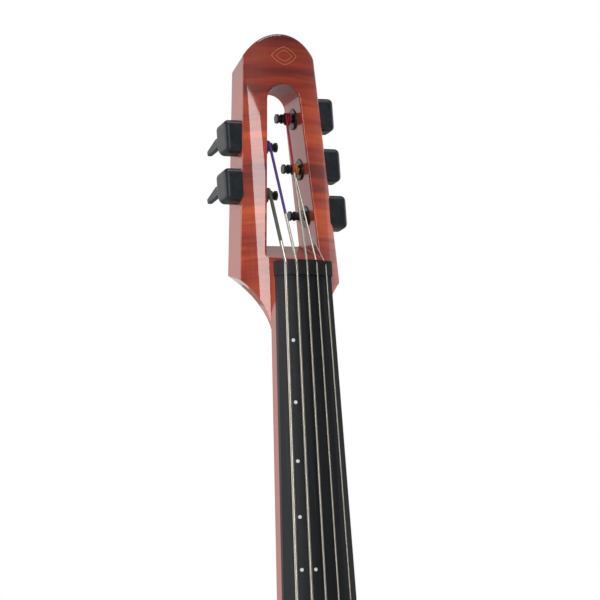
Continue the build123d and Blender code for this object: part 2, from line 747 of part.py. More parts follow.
def make_ball_end(number):
    """Brass ferrule that holds a string in the tailpiece."""
    x = string_x(number, SCALE_LENGTH)
    bottom = -TAILPIECE_TOP - TAILPIECE_LENGTH
    return rod(at(x, TAIL_STRING_DEPTH, bottom), at(x, TAIL_STRING_DEPTH, bottom + BALL_LENGTH),
               BALL_RADIUS)


# ---------------------------------------------------------------- body

def body_face():
    """Outline of the slim body, both halves."""
    lower = (LOWER_HALF_WIDTH - LOWER_CORNER, -BODY_BOTTOM_END + LOWER_CORNER)
    upper = (UPPER_HALF_WIDTH - UPPER_CORNER, -BODY_TOP_END - UPPER_CORNER)
    half = Curve() + [
        Line((0, -BODY_BOTTOM_END), (lower[0], -BODY_BOTTOM_END)),
        CenterArc(lower, LOWER_CORNER, -90, 90),
        Spline((LOWER_HALF_WIDTH, lower[1]), (WAIST_HALF_WIDTH, -WAIST_POSITION),
               (UPPER_HALF_WIDTH, upper[1]), tangents=[(0, 1), (0, 1)]),
        CenterArc(upper, UPPER_CORNER, 0, 90),
        Line((upper[0], -BODY_TOP_END), (0, -BODY_TOP_END)),
    ]
    return half + mirror(half, about=Plane.YZ)


def make_back_blank():
    """Thick back slab with a rounded rear edge."""
    slab = front_prism(body_face(), BODY_JOINT_DEPTH, BODY_BACK_DEPTH)
    rear = slab.faces().sort_by(Axis.Y)[-1]
    return fillet(rear.edges(), BODY_EDGE_ROUND)


def make_top_blank():
    """Flame-maple top plate, arched across its width."""
    slab = front_prism(body_face(), BODY_FRONT_DEPTH - 1.0, BODY_JOINT_DEPTH)
    axis_depth = BODY_FRONT_DEPTH + BODY_CROWN_RADIUS
    return slab & rod(at(0, axis_depth, -1.2 * BODY_BOTTOM_END), at(0, axis_depth, 0),
                      BODY_CROWN_RADIUS)


def heel_pocket():
    """Room for the neck's heel in the top plate and the back."""
    half = board_half_width(NECK_FREE_LENGTH) - NECK_INSET
    return block(-half, half, 0, HEEL_DEPTH, NECK_FREE_LENGTH, HEEL_END)


def make_bolt(x, down):
    """Neck bolt with a hexagon socket, driven from the body's back."""
    head_end = BOLT_HEAD_DEPTH + BOLT_HEAD_HEIGHT
    shank = rod(at(x, BOLT_TIP_DEPTH, -down), at(x, BOLT_HEAD_DEPTH, -down), BOLT_RADIUS)
    head = rod(at(x, BOLT_HEAD_DEPTH, -down), at(x, head_end, -down), BOLT_HEAD_RADIUS)
    drawing = Plane(origin=at(x, head_end, -down), z_dir=(0, -1, 0))
    socket = extrude(drawing * RegularPolygon(2.9, 6), amount=BOLT_HEAD_HEIGHT * 0.6)
    return shank + head - socket


def bolt_room(x, down):
    """Hole and counterbore for one neck bolt."""
    shank = rod(at(x, BOLT_TIP_DEPTH, -down), at(x, BOLT_HEAD_DEPTH, -down), BOLT_RADIUS)
    return shank + rod(at(x, BOLT_HEAD_DEPTH, -down), at(x, 2 * BODY_BACK_DEPTH, -down),
                       BOLT_HEAD_RADIUS + 0.5)


def screw_places():
    """Head centre and driving direction of every wood screw."""
    places = []
    x_from, x_to, down_from, down_to = CAVITY
    for x in (x_from - COVER_MARGIN + 4.5, x_to + COVER_MARGIN - 4.5):
        for down in (down_from - COVER_MARGIN + 4.5, down_to + COVER_MARGIN - 4.5):
            places.append((at(x, COVER_DEPTH[1], -down), Vector(0, -1, 0)))
    for x in (-PLATE_HALF_WIDTH + 7.0, PLATE_HALF_WIDTH - 7.0):
        for height in (-PLATE_HALF_HEIGHT + 7.0, PLATE_HALF_HEIGHT - 7.0):
            places.append((at(x, PLATE_DEPTH[1], height - NUT_HEIGHT), Vector(0, -1, 0)))
    for x in (JACK_X - 15.5, JACK_X + 15.5):
        places.append((at(x, JACK_DEPTH, -BODY_BOTTOM_END - JACK_PLATE), Vector(0, 0, 1)))
    ear_front = TAILPIECE_DEPTH[1] - 4.0
    for x in (-TAILPIECE_HALF_WIDTH - TAILPIECE_EAR / 2, TAILPIECE_HALF_WIDTH + TAILPIECE_EAR / 2):
        places.append((at(x, ear_front, -TAILPIECE_TOP - TAILPIECE_LENGTH / 2), Vector(0, 1, 0)))
    return places


def screw_body(place, direction):
    """Countersunk head and shank of one wood screw, without its drive."""
    under_head = place + direction * SCREW_HEAD
    head = rod(place, under_head, SCREW_HEAD_RADIUS, SCREW_RADIUS)
    return head + rod(under_head, place + direction * SCREW_LENGTH, SCREW_RADIUS)


def make_screw(place, direction):
    """Wood screw with a cross drive."""
    drawing = Plane(origin=place, z_dir=direction)
    deep = 1.2
    arm = drawing * Pos(0, 0, deep / 2) * Box(3.6, 0.8, deep)
    cross = drawing * Pos(0, 0, deep / 2) * Box(0.8, 3.6, deep)
    return screw_body(place, direction) - arm - cross


def make_bridge():
    """Thin maple bridge on two feet, with an arch and two round openings."""
    foot = PICKUP_DEPTH[0]
    half = BRIDGE_HALF_WIDTH
    crest = -bridge_rise(0)
    shoulder = -bridge_rise(half)
    base = PICKUP_HALF_WIDTH - 4.0
    outline = Curve() + [
        Line((-base, foot), (-base + 18, foot)),
        ThreePointArc((-base + 18, foot), (0, foot - 16), (base - 18, foot)),
        Line((base - 18, foot), (base, foot)),
        ThreePointArc((base, foot), (base - 9, foot - 20), (half, shoulder)),
        ThreePointArc((half, shoulder), (0, crest), (-half, shoulder)),
        ThreePointArc((-half, shoulder), (-base + 9, foot - 20), (-base, foot)),
    ]
    drawing = Plane(origin=at(0, 0, -SCALE_LENGTH - BRIDGE_THICKNESS / 2), x_dir=(1, 0, 0),
                    z_dir=(0, 0, 1))
    plate = extrude(drawing * make_face(outline), amount=BRIDGE_THICKNESS)
    for x in (-14.0, 14.0):
        hole = rod(at(x, -3.0, -SCALE_LENGTH - 10), at(x, -3.0, -SCALE_LENGTH + 10), 6.0)
        plate = plate - hole
    return plate


def make_pickup():
    """Flat pickup bar let into the top under the bridge's feet."""
    return block(-PICKUP_HALF_WIDTH, PICKUP_HALF_WIDTH, PICKUP_DEPTH[0], PICKUP_DEPTH[1],
                 SCALE_LENGTH - PICKUP_LENGTH / 2, SCALE_LENGTH + PICKUP_LENGTH / 2)


def make_tailpiece():
    """Metal bar with two screw ears; each string passes a hole and ends in a counterbore."""
    front, back = TAILPIECE_DEPTH
    top, bottom = TAILPIECE_TOP, TAILPIECE_TOP + TAILPIECE_LENGTH
    bar = block(-TAILPIECE_HALF_WIDTH, TAILPIECE_HALF_WIDTH, front, back, top, bottom)
    bar = fillet(bar.edges().filter_by(Axis.X).sort_by(Axis.Y)[:2], 5.0)
    wide = TAILPIECE_HALF_WIDTH + TAILPIECE_EAR
    ears = block(-wide, wide, back - 4.0, back, top + 4.0, bottom - 4.0)
    piece = bar + ears
    for number, radius in enumerate(STRING_RADII):
        piece = piece - make_string(number, radius + GROOVE_PLAY) - make_ball_end(number)
    return piece


# ---------------------------------------------------------------- electronics

def make_pot_can(down):
    """Potentiometer can with its threaded bushing, bored for the shaft."""
    joint = BODY_JOINT_DEPTH
    can = rod(at(POT_X, joint, -down), at(POT_X, joint + POT_HEIGHT, -down), POT_RADIUS)
    bushing = rod(at(POT_X, POT_BUSHING_FRONT, -down), at(POT_X, joint, -down), POT_BUSHING_RADIUS)
    bore = rod(at(POT_X, 0, -down), at(POT_X, joint + 6.5, -down), SHAFT_RADIUS + POST_PLAY)
    return can + bushing - bore


def make_shaft(down):
    """Turning shaft of one potentiometer."""
    return rod(at(POT_X, KNOB_DEPTH[0] + 3.0, -down), at(POT_X, BODY_JOINT_DEPTH + 6.0, -down),
               SHAFT_RADIUS)


def make_knob(down):
    """Ribbed control knob with a pointer notch."""
    front, back = KNOB_DEPTH
    knob = rod(at(POT_X, front, -down), at(POT_X, back, -down), KNOB_RADIUS - 1.0, KNOB_RADIUS)
    knob = fillet(knob.edges().sort_by(Axis.Y)[0], 1.5)
    ribs = 18
    for rib in range(ribs):
        angle = 2 * math.pi * rib / ribs
        x = POT_X + (KNOB_RADIUS + 0.6) * math.cos(angle)
        height = -down + (KNOB_RADIUS + 0.6) * math.sin(angle)
        knob = knob - rod(at(x, front + 3.0, height), at(x, back, height), 1.0)
    pointer = block(POT_X - 0.4, POT_X + 0.4, front - 1, front + 0.8, down - KNOB_RADIUS, down - 2.0)
    return knob - pointer - make_shaft(down)


def cavity_rooms():
    """Control cavity: room under the top, wider ledge for the circuit board, recess for the cover."""
    x_from, x_to, down_from, down_to = CAVITY
    inner = block(x_from, x_to, BODY_JOINT_DEPTH, LEDGE_DEPTH, down_from, down_to)
    outer = block(x_from - LEDGE, x_to + LEDGE, LEDGE_DEPTH, COVER_DEPTH[0],
                  down_from - LEDGE, down_to + LEDGE)
    recess = block(x_from - COVER_MARGIN, x_to + COVER_MARGIN, COVER_DEPTH[0], COVER_DEPTH[1],
                   down_from - COVER_MARGIN, down_to + COVER_MARGIN)
    return [inner, outer, recess]


def make_circuit_board():
    """Preamplifier board resting on the cavity's ledge, with its components."""
    x_from, x_to, down_from, down_to = CAVITY
    play = 0.5
    top = LEDGE_DEPTH + 1.6
    board = block(x_from - LEDGE + play, x_to + LEDGE - play, LEDGE_DEPTH, top,
                  down_from - LEDGE + play, down_to + LEDGE - play)
    chip = block(x_from + 20, x_from + 29, top, top + 3.5, down_from + 30, down_from + 40)
    capacitors = []
    for index in range(3):
        x = x_from + 12 + 14 * index
        capacitors.append(rod(at(x, top, -down_to + 25), at(x, top + 8.0, -down_to + 25), 3.5))
    return joined([board, chip] + capacitors)


def make_cover_plate():
    """Lid of the control cavity."""
    return cavity_rooms()[2]


def make_jack_plate():
    """Square-edged metal plate around the output socket."""
    half = 21.0
    down = BODY_BOTTOM_END
    plate = block(JACK_X - half, JACK_X + half, JACK_DEPTH - 12, JACK_DEPTH + 12, down, down + JACK_PLATE)
    plate = fillet(plate.edges().filter_by(Axis.Z), 4.0)
    return plate - rod(at(JACK_X, JACK_DEPTH, -down), at(JACK_X, JACK_DEPTH, -down - JACK_PLATE), 5.5)


def make_jack_socket():
    """Output socket with its fixing collar, bored for a 6.35 mm plug."""
    down = BODY_BOTTOM_END
    face = -down - JACK_PLATE
    body = rod(at(JACK_X, JACK_DEPTH, -down), at(JACK_X, JACK_DEPTH, -down + JACK_LENGTH), JACK_RADIUS)
    neck = rod(at(JACK_X, JACK_DEPTH, face), at(JACK_X, JACK_DEPTH, -down), 5.5)
    collar = rod(at(JACK_X, JACK_DEPTH, face - 2.0), at(JACK_X, JACK_DEPTH, face), 7.5)
    bore = rod(at(JACK_X, JACK_DEPTH, face - 2.0), at(JACK_X, JACK_DEPTH, -down + JACK_LENGTH - 3),
               JACK_BORE)
    return joined([body, neck, collar]) - bore


def battery_block(margin, deeper=0.0):
    """Block of the battery box drawn in by a margin on its four sides."""
    x_from, x_to, depth_from, depth_to, length = BATTERY_BOX
    return block(x_from + margin, x_to - margin, depth_from + margin, depth_to - margin,
                 BODY_BOTTOM_END - length + margin, BODY_BOTTOM_END + deeper)


def make_battery_box():
    """Plastic sleeve that guides the drawer."""
    return battery_block(0) - battery_block(BATTERY_WALL)


def make_drawer():
    """Sliding battery drawer with its outer lip."""
    margin = BATTERY_WALL + DRAWER_PLAY
    tray = battery_block(margin, deeper=DRAWER_PLAY)
    x_from, x_to, depth_from, depth_to, length = BATTERY_BOX
    inside = margin + BATTERY_WALL
    room = block(x_from + inside, x_to - inside, depth_from, depth_to - inside,
                 BODY_BOTTOM_END - length + inside, BODY_BOTTOM_END - DRAWER_LIP)
    lip = block(x_from, x_to, depth_from, depth_to, BODY_BOTTOM_END + DRAWER_PLAY,
                BODY_BOTTOM_END + DRAWER_PLAY + DRAWER_LIP)
    return tray - room + lip


def make_battery():
    """Nine-volt block battery with two terminals, lying in the drawer."""
    width, thickness, length = BATTERY
    x_from, x_to, depth_from, depth_to, _ = BATTERY_BOX
    middle = (x_from + x_to) / 2
    floor = depth_to - BATTERY_WALL - DRAWER_PLAY - BATTERY_WALL
    end = BODY_BOTTOM_END - DRAWER_LIP
    body = block(middle - width / 2, middle + width / 2, floor - thickness, floor, end - length + 2, end)
    terminals = []
    for x in (middle - 6.3, middle + 6.3):
        terminals.append(rod(at(x, floor - thickness / 2, -end + length - 2),
                             at(x, floor - thickness / 2, -end + length), 2.8))
    return joined([body] + terminals)


# ---------------------------------------------------------------- everything

def make_truss_rod():
    """Steel adjusting rod lying in the neck under the fingerboard."""
    start, end = TRUSS_SPAN
    half = TRUSS_HALF_WIDTH
    bar = block(-half, half, 1.0, 4.0, start, end)
    rod_line = rod(at(0, 6.6, -end), at(0, 6.6, -start), 2.2)
    end_blocks = [
        block(-half, half, 1.0, 9.0, start, start + 12),
        block(-half, half, 1.0, 9.0, end - 12, end),
    ]
    return joined([bar, rod_line] + end_blocks)


def truss_channel():
    """Channel for the rod and its adjusting nut."""
    half = TRUSS_HALF_WIDTH + 0.5
    return block(-half, half, 0, 9.5, TRUSS_SPAN[0] - 1, TRUSS_SPAN[1] + 12)


def make_truss_nut():
    """Brass adjusting nut on the rod's lower end."""
    start = TRUSS_SPAN[1]
    nut = rod(at(0, 5.5, -start - 10), at(0, 5.5, -start), 3.2)
    return nut - rod(at(0, 5.5, -start - 10), at(0, 5.5, -start - 6), 1.5)


def make_stand_plate():
    """Steel plate let into the back, with two threaded holes for a stand."""
    front, back = PLATE_DEPTH
    plate = block(-PLATE_HALF_WIDTH, PLATE_HALF_WIDTH, front, back,
                  NUT_HEIGHT - PLATE_HALF_HEIGHT, NUT_HEIGHT + PLATE_HALF_HEIGHT)
    plate = fillet(plate.edges().filter_by(Axis.Y), 6.0)
    for height in (-STAND_HOLE_SPACING / 2, STAND_HOLE_SPACING / 2):
        plate = plate - rod(Vector(0, -40, height), Vector(0, 0, height), STAND_HOLE_RADIUS)
    return plate


def stand_room():
    """Recess for the stand plate and clearance behind its two holes."""
    front, back = PLATE_DEPTH
    recess = block(-PLATE_HALF_WIDTH, PLATE_HALF_WIDTH, front, back,
                   NUT_HEIGHT - PLATE_HALF_HEIGHT, NUT_HEIGHT + PLATE_HALF_HEIGHT)
    rooms = [fillet(recess.edges().filter_by(Axis.Y), 6.0)]
    for height in (-STAND_HOLE_SPACING / 2, STAND_HOLE_SPACING / 2):
        rooms.append(rod(Vector(0, -25, height), Vector(0, 0, height), STAND_HOLE_RADIUS + 0.6))
    return rooms


def main():
    os.makedirs("parts", exist_ok=True)
    numbers = range(len(STRING_RADII))
    head_blank = make_head_blank()
    string_rooms = [make_string(n, STRING_RADII[n] + GROOVE_PLAY) for n in numbers]
    screws = screw_places()
    screw_rooms = [screw_body(place, direction) for place, direction in screws]
    bolt_rooms = [bolt_room(x, down) for x, down in BOLT_PLACES]

    save(make_neck(head_blank, bolt_rooms), "neck")
    save(make_truss_rod(), "truss_rod")
    save(make_truss_nut(), "truss_rod_nut")

    board = make_board_blank()
    pins = make_dot_pins()
    save(Compound(children=[pin & board for pin in pins]), "position_dots")
    for pin in pins:
        board = board - pin
    save(board, "fingerboard")

    nut = make_nut()
    bridge = make_bridge()
    for room in string_rooms:
        nut = nut - room
        bridge = bridge - room
    save(nut, "nut")
    save(bridge, "bridge")
    pickup = make_pickup()
    save(pickup, "bridge_pickup")

    tail_seat = block(-TAILPIECE_HALF_WIDTH - TAILPIECE_EAR, TAILPIECE_HALF_WIDTH + TAILPIECE_EAR,
                      0, TAILPIECE_DEPTH[1], TAILPIECE_TOP, TAILPIECE_TOP + TAILPIECE_LENGTH)
    top = make_top_blank() - heel_pocket() - pickup - tail_seat
    back = make_back_blank() - heel_pocket()
    jack_room = rod(at(JACK_X, JACK_DEPTH, -BODY_BOTTOM_END),
                    at(JACK_X, JACK_DEPTH, -BODY_BOTTOM_END + JACK_LENGTH + 8), JACK_RADIUS + 1)
    for room in cavity_rooms() + stand_room() + bolt_rooms + [battery_block(0), jack_room]:
        back = back - room
    for down in POT_PLACES:
        top = top - rod(at(POT_X, 0, -down), at(POT_X, BODY_JOINT_DEPTH, -down), POT_BUSHING_RADIUS)
    cover = make_cover_plate()
    jack_plate = make_jack_plate()
    stand_plate = make_stand_plate()
    tailpiece = make_tailpiece()
    for room in screw_rooms:
        back = back - room
        top = top - room
        cover = cover - room
        jack_plate = jack_plate - room
        stand_plate = stand_plate - room
        tailpiece = tailpiece - room
    save(top, "body_top")
    save(back, "body_back")
    save(cover, "electronics_cover")
    save(jack_plate, "jack_plate")
    save(stand_plate, "stand_plate")
    save(tailpiece, "tailpiece")
    save(Compound(children=[make_screw(place, direction) for place, direction in screws]),
         "wood_screws")
    save(Compound(children=[make_bolt(x, down) for x, down in BOLT_PLACES]), "neck_bolts")
    save(make_jack_socket(), "jack_socket")
    save(make_circuit_board(), "circuit_board")
    save(make_battery_box(), "battery_box")
    save(make_drawer(), "battery_drawer")
    save(make_battery(), "battery")
    save(Compound(children=[make_pot_can(down) for down in POT_PLACES]), "potentiometers")
    for name, down in zip(("volume", "tone"), POT_PLACES):
        save(make_knob(down), name + "_knob")
        save(make_shaft(down), name + "_shaft")

    bushings = []
    covers = []
    for number, (side, height) in enumerate(TUNERS, start=1):
        bushings.append(make_bushing(side, height))
        covers.append(make_cover(side, height))
        save(make_housing(side, height, head_blank), f"tuner_housing_{number}")
        save(make_post(side, height), f"tuner_post_{number}")
        save(make_gear(side, height), f"tuner_gear_{number}")
        save(make_worm(side, height), f"tuner_worm_{number}")
        save(make_key(side, height), f"tuner_key_{number}")
    save(Compound(children=bushings), "tuner_bushings")
    save(Compound(children=covers), "tuner_covers")

    for number in numbers:
        string = make_string(number, STRING_RADII[number]) + make_ball_end(number)
        save(string, f"string_{number + 1}")


main()
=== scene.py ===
import math

import bmesh
import bpy
from mathutils import Matrix, Vector


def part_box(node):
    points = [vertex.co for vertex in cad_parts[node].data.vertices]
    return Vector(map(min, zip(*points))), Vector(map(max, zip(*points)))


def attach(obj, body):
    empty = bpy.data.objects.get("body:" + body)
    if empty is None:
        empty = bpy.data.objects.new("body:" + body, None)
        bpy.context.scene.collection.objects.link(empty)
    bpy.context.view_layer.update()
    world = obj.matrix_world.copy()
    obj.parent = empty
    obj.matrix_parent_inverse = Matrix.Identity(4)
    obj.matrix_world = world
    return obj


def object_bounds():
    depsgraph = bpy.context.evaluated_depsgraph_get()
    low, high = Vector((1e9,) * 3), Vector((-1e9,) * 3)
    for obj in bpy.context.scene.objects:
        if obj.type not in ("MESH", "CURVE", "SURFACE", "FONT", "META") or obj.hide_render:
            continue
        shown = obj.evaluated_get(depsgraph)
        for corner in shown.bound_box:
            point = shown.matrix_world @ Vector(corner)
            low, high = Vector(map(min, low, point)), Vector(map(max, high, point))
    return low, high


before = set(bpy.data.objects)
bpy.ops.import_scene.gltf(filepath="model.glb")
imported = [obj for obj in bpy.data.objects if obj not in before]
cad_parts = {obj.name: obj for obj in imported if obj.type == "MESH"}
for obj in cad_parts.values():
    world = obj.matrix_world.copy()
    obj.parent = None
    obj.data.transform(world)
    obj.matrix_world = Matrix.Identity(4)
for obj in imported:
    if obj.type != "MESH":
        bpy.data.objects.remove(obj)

CAD_BOX = [list(corner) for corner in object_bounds()]
MM = 0.001

# The nut's lower edge and the neck's gluing plane, read from the frame.
NUT_LOW, NUT_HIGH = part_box("nut")
NUT_Z = NUT_LOW[2]
NECK_PLANE_Y = NUT_HIGH[1]
HEAD_TOP_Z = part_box("neck")[1][2]

# Camera: turned to the left of the front, a little below, looking slightly up.
CAMERA_TURN = math.radians(22.0)
CAMERA_RISE = math.radians(10.0)
CAMERA_ROLL = math.radians(-2.932)
CAMERA_DISTANCE = 4.1047
CAMERA_LENS = 274.5
CAMERA_AIM = Vector((-2.9, 0.0, -20.94)) * MM

# Head's front, in millimetres, and the middle of the ornament on it.
HEAD_FRONT_DEPTH = 12.0
HEAD_CROWN_RADIUS = 80.0
HEAD_LEAN = math.radians(2.6)
ORNAMENT_X = 2.5
ORNAMENT_HEIGHT = 210.0


# ---------------------------------------------------------------- material helpers

def new_material(name, roughness, metallic=0.0, coat=0.0, specular=0.5):
    """Material with a shader whose plain values are set, and nodes still to be added."""
    material = bpy.data.materials.new(name)
    material.use_nodes = True
    shader = material.node_tree.nodes["Principled BSDF"]
    shader.inputs["Roughness"].default_value = roughness
    shader.inputs["Metallic"].default_value = metallic
    shader.inputs["Coat Weight"].default_value = coat
    shader.inputs["Coat Roughness"].default_value = 0.03
    shader.inputs["Specular IOR Level"].default_value = specular
    return material, material.node_tree, shader


def object_place(tree):
    """Position on the object, in metres."""
    return tree.nodes.new("ShaderNodeTexCoord").outputs["Object"]


def noise(tree, stretch, detail=3.0, roughness=0.55, distortion=0.0):
    """Cloudy pattern stretched along the axes; stretch counts features per metre."""
    mapping = tree.nodes.new("ShaderNodeMapping")
    mapping.inputs["Scale"].default_value = stretch
    tree.links.new(object_place(tree), mapping.inputs["Vector"])
    texture = tree.nodes.new("ShaderNodeTexNoise")
    texture.inputs["Scale"].default_value = 1.0
    texture.inputs["Detail"].default_value = detail
    texture.inputs["Roughness"].default_value = roughness
    texture.inputs["Distortion"].default_value = distortion
    tree.links.new(mapping.outputs["Vector"], texture.inputs["Vector"])
    return texture.outputs["Fac"]


def ramp(tree, value, stops):
    """Colour picked along a row of (position, colour) stops."""
    node = tree.nodes.new("ShaderNodeValToRGB")
    elements = node.color_ramp.elements
    elements[0].position, elements[0].color = stops[0][0], (*stops[0][1], 1.0)
    elements[1].position, elements[1].color = stops[-1][0], (*stops[-1][1], 1.0)
    for position, colour in stops[1:-1]:
        elements.new(position).color = (*colour, 1.0)
    tree.links.new(value, node.inputs["Fac"])
    return node.outputs["Color"]


def blend_colours(tree, kind, amount, first, second):
    """Mixes two colours; amount is a number or a socket."""
    node = tree.nodes.new("ShaderNodeMix")
    node.data_type = "RGBA"
    node.blend_type = kind
    if isinstance(amount, (int, float)):
        node.inputs["Factor"].default_value = amount
    else:
        tree.links.new(amount, node.inputs["Factor"])
    colour_inputs = [socket for socket in node.inputs if socket.type == "RGBA"]
    for socket, value in zip(colour_inputs, (first, second)):
        if isinstance(value, tuple):
            socket.default_value = (*value, 1.0)
        else:
            tree.links.new(value, socket)
    return [socket for socket in node.outputs if socket.type == "RGBA"][0]


def map_value(tree, value, low, high, to_low=0.0, to_high=1.0):
    """Scales a value from one range to another, clamped."""
    node = tree.nodes.new("ShaderNodeMapRange")
    tree.links.new(value, node.inputs["Value"])
    node.inputs["From Min"].default_value = low
    node.inputs["From Max"].default_value = high
    node.inputs["To Min"].default_value = to_low
    node.inputs["To Max"].default_value = to_high
    return node.outputs["Result"]


def height_on_object(tree):
    """Height above the origin, in metres."""
    split = tree.nodes.new("ShaderNodeSeparateXYZ")
    tree.links.new(object_place(tree), split.inputs["Vector"])
    return split.outputs["Z"]


def facing_sideways(tree):
    """1 where the surface faces left or right, 0 where it faces the front or the back."""
    split = tree.nodes.new("ShaderNodeSeparateXYZ")
    tree.links.new(tree.nodes.new("ShaderNodeNewGeometry").outputs["Normal"], split.inputs["Vector"])
    size = tree.nodes.new("ShaderNodeMath")
    size.operation = "ABSOLUTE"
    tree.links.new(split.outputs["X"], size.inputs[0])
    return map_value(tree, size.outputs["Value"], 0.7, 0.95, 0.0, 0.9)


def bump(tree, shader, value, strength, distance):
    """Small relief from a pattern."""
    node = tree.nodes.new("ShaderNodeBump")
    node.inputs["Strength"].default_value = strength
    node.inputs["Distance"].default_value = distance
    tree.links.new(value, node.inputs["Height"])
    tree.links.new(node.outputs["Normal"], shader.inputs["Normal"])


# ---------------------------------------------------------------- materials

def flame_maple(name, bright, middle, dark, side, shade_top=True):
    """Glossy stained maple: uneven flames across the front and back, plainer on the sides, whose plain
    colour is tinted pink as a painted sheen.
    """
    material, tree, shader = new_material(name, 0.5, coat=1.0, specular=0.3)
    flames = noise(tree, (9.0, 9.0, 95.0), detail=2.5, distortion=0.6)
    wide_flames = noise(tree, (5.0, 5.0, 34.0), detail=1.5, distortion=0.4)
    grain = noise(tree, (900.0, 900.0, 14.0), detail=4.0)
    narrow = ramp(tree, flames, [(0.34, dark), (0.50, middle), (0.66, bright)])
    wide = ramp(tree, wide_flames, [(0.35, dark), (0.52, middle), (0.64, bright)])
    figure = blend_colours(tree, "MIX", 0.45, narrow, wide)
    streaks = ramp(tree, grain, [(0.3, (0.72, 0.66, 0.62)), (0.6, (1.0, 1.0, 1.0))])
    # Surfaces facing left or right get the plain side colour; its pink tint is a painted sheen, not the
    # wood's own colour.
    colour = blend_colours(tree, "MIX", facing_sideways(tree), figure, side)
    colour = blend_colours(tree, "MULTIPLY", 0.6, colour, streaks)
    if shade_top:
        top = map_value(tree, height_on_object(tree), NUT_Z + 0.17, HEAD_TOP_Z)
        colour = blend_colours(tree, "MULTIPLY", top, colour, (0.55, 0.45, 0.42))
    tree.links.new(colour, shader.inputs["Base Color"])
    bump(tree, shader, grain, 0.05, 0.0002)
    return material


def ebony():
    """Near-black satin wood with fine pale streaks along the board."""
    material, tree, shader = new_material("ebony", 0.5, specular=0.3)
    grain = noise(tree, (520.0, 520.0, 7.0), detail=6.0, roughness=0.7)
    colour = ramp(tree, grain, [(0.35, (0.004, 0.005, 0.006)), (0.62, (0.010, 0.012, 0.014)),
                                (0.8, (0.035, 0.038, 0.042))])
    tree.links.new(colour, shader.inputs["Base Color"])
    tree.links.new(map_value(tree, grain, 0.3, 0.8, 0.42, 0.6), shader.inputs["Roughness"])
    bump(tree, shader, grain, 0.12, 0.0003)
    return material


def dark_finish(name, colour, roughness, metallic=0.0, specular=0.4, grit=2500.0, relief=0.06):
    """Black parts: a faint mottling of the colour and the shine, and a fine texture."""
    material, tree, shader = new_material(name, roughness, metallic=metallic, specular=specular)
    mottle = noise(tree, (160.0, 160.0, 160.0), detail=4.0)
    light = tuple(min(1.0, part * 1.5 + 0.004) for part in colour)
    tree.links.new(ramp(tree, mottle, [(0.3, colour), (0.75, light)]), shader.inputs["Base Color"])
    tree.links.new(map_value(tree, mottle, 0.3, 0.7, roughness * 0.85, roughness * 1.15),
                   shader.inputs["Roughness"])
    bump(tree, shader, noise(tree, (grit, grit, grit), detail=2.0), relief, 0.0001)
    return material


def bare_metal(name, colour, roughness, stretch=(300.0, 300.0, 3000.0)):
    """Metal with fine brushing and slight tarnish."""
    material, tree, shader = new_material(name, roughness, metallic=1.0)
    brushing = noise(tree, stretch, detail=3.0)
    dull = tuple(part * 0.75 for part in colour)
    tree.links.new(ramp(tree, brushing, [(0.3, dull), (0.65, colour)]), shader.inputs["Base Color"])
    tree.links.new(map_value(tree, brushing, 0.3, 0.7, roughness * 0.7, roughness * 1.3),
                   shader.inputs["Roughness"])
    bump(tree, shader, brushing, 0.05, 0.0001)
    return material


def string_finish(name, silk=None, silk_from=0.0):
    """Flat-wound steel string, with coloured silk from a height above the nut upwards."""
    material, tree, shader = new_material(name, 0.3, metallic=1.0)
    wave = tree.nodes.new("ShaderNodeTexWave")
    wave.bands_direction = "Z"
    wave.inputs["Scale"].default_value = 320.0
    tree.links.new(object_place(tree), wave.inputs["Vector"])
    steel = ramp(tree, wave.outputs["Fac"], [(0.0, (0.26, 0.24, 0.20)), (1.0, (0.50, 0.48, 0.42))])
    if silk is None:
        tree.links.new(steel, shader.inputs["Base Color"])
    else:
        threads = ramp(tree, noise(tree, (1500.0, 1500.0, 1500.0)),
                       [(0.35, tuple(part * 0.5 for part in silk)), (0.65, silk)])
        start = NUT_Z + silk_from * MM
        wrapped = map_value(tree, height_on_object(tree), start, start + 0.5 * MM)
        tree.links.new(blend_colours(tree, "MIX", wrapped, steel, threads), shader.inputs["Base Color"])
        tree.links.new(map_value(tree, wrapped, 0.0, 1.0, 1.0, 0.0), shader.inputs["Metallic"])
        tree.links.new(map_value(tree, wrapped, 0.0, 1.0, 0.3, 0.75), shader.inputs["Roughness"])
    bump(tree, shader, wave.outputs["Fac"], 0.2, 0.0001)
    return material


def plain_maple():
    """Unstained maple of the bridge, with short flecks."""
    material, tree, shader = new_material("bridge_maple", 0.45)
    grain = noise(tree, (40.0, 400.0, 400.0), detail=5.0)
    colour = ramp(tree, grain, [(0.3, (0.42, 0.25, 0.12)), (0.7, (0.74, 0.53, 0.31))])
    tree.links.new(colour, shader.inputs["Base Color"])
    bump(tree, shader, grain, 0.1, 0.0002)
    return material


def inlay_white(name, colour):
    """Pale inlay with a faint cloudiness."""
    material, tree, shader = new_material(name, 0.3, coat=0.4)
    cloud = noise(tree, (700.0, 700.0, 700.0))
    dim = tuple(part * 0.85 for part in colour)
    tree.links.new(ramp(tree, cloud, [(0.3, dim), (0.7, colour)]), shader.inputs["Base Color"])
    return material


def floor_finish():
    """Plain pale floor with a barely visible unevenness."""
    material, tree, shader = new_material("pale_floor", 0.7)
    cloud = noise(tree, (0.6, 0.6, 0.6))
    tree.links.new(ramp(tree, cloud, [(0.3, (0.80, 0.80, 0.80)), (0.7, (0.86, 0.86, 0.86))]),
                   shader.inputs["Base Color"])
    return material


def give(material, *nodes):
    """Puts a material on carried-over CAD nodes."""
    for name in nodes:
        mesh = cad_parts[name].data
        if not mesh.materials:
            mesh.materials.append(material)
        for index in range(len(mesh.materials)):
            mesh.materials[index] = material


def each(prefix):
    """The names of a numbered family of nodes."""
    return [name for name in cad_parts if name.startswith(prefix)]


